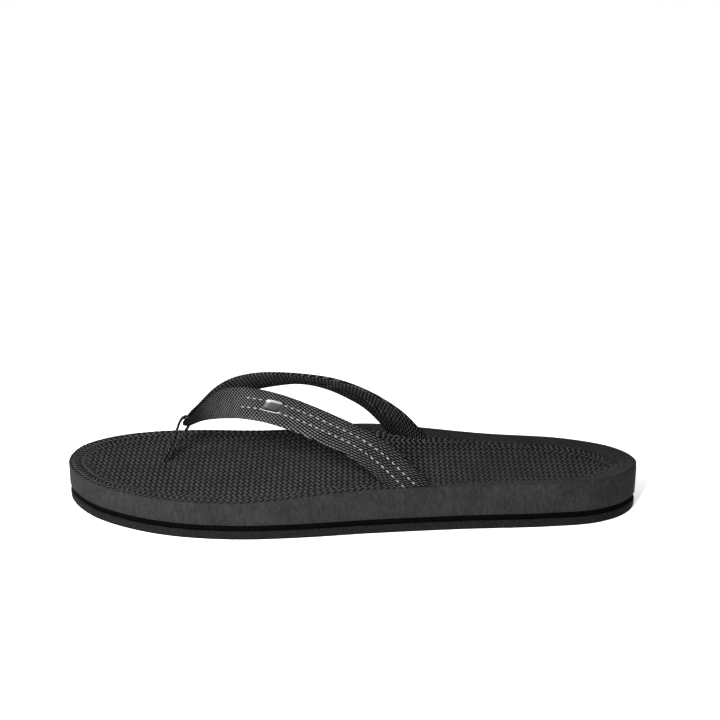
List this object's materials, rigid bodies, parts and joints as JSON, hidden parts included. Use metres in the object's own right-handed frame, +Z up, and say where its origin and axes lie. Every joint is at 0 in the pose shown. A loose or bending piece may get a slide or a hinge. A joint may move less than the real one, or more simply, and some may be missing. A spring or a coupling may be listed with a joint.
{
  "type": "flip flop",
  "caption": "Left thong sandal: layered foam and rubber sole that flexes at the ball, folded textile strap running through a woven toe loop.",
  "frame": {"origin": "on the ground, under the middle of the sole's length and width", "axes": "+X from the toe to the heel, +Y to the inner (medial) side of the left foot, +Z up"},
  "size_m": [0.265, 0.0968, 0.0595],
  "materials": {
    "footbed_foam": "matt moulded foam, dark grey, herringbone embossed top",
    "midlayer_foam": "matt black foam",
    "outsole_rubber": "matt granular rubber, near black",
    "strap_textile": "twill woven textile, charcoal, light stitches",
    "webbing": "narrow woven tape, near black",
    "satin_metal": "satin metal"
  },
  "bodies": {
    "front_sole": {"footbed_front": "footbed_foam", "midlayer_front": "midlayer_foam", "outsole_front": "outsole_rubber", "toe_loop_tail": "webbing"},
    "rear_sole": {"footbed_rear": "footbed_foam", "midlayer_rear": "midlayer_foam", "outsole_rear": "outsole_rubber", "strap_tail_lateral": "strap_textile", "strap_tail_medial": "strap_textile"},
    "strap": {"strap_cover": "strap_textile", "strap_core": "webbing", "badge": "satin_metal"},
    "toe_loop": {"toe_loop": "webbing"}
  },
  "joints": [
    {"name": "ball_flex", "type": "hinge", "parent": "front_sole", "child": "rear_sole", "pos_m": [-0.0475, 0, 0.0179], "axis": [0, -1, 0], "range_deg": [0, 30], "stiffness_Nm_per_rad": 1.2},
    {"name": "strap_lift", "type": "hinge", "parent": "rear_sole", "child": "strap", "pos_m": [0.037, 0, 0.0205], "axis": [0, -1, 0], "range_deg": [-11, 0]},
    {"name": "toe_loop_lean", "type": "hinge", "parent": "front_sole", "child": "toe_loop", "pos_m": [-0.087, 0, 0.0166], "axis": [0, -1, 0], "range_deg": [0, 28]}
  ],
  "couplings": [
    {"joint": "strap_lift", "follows": "ball_flex", "ratio": -0.339},
    {"joint": "toe_loop_lean", "follows": "ball_flex", "ratio": 0.913}
  ]
}
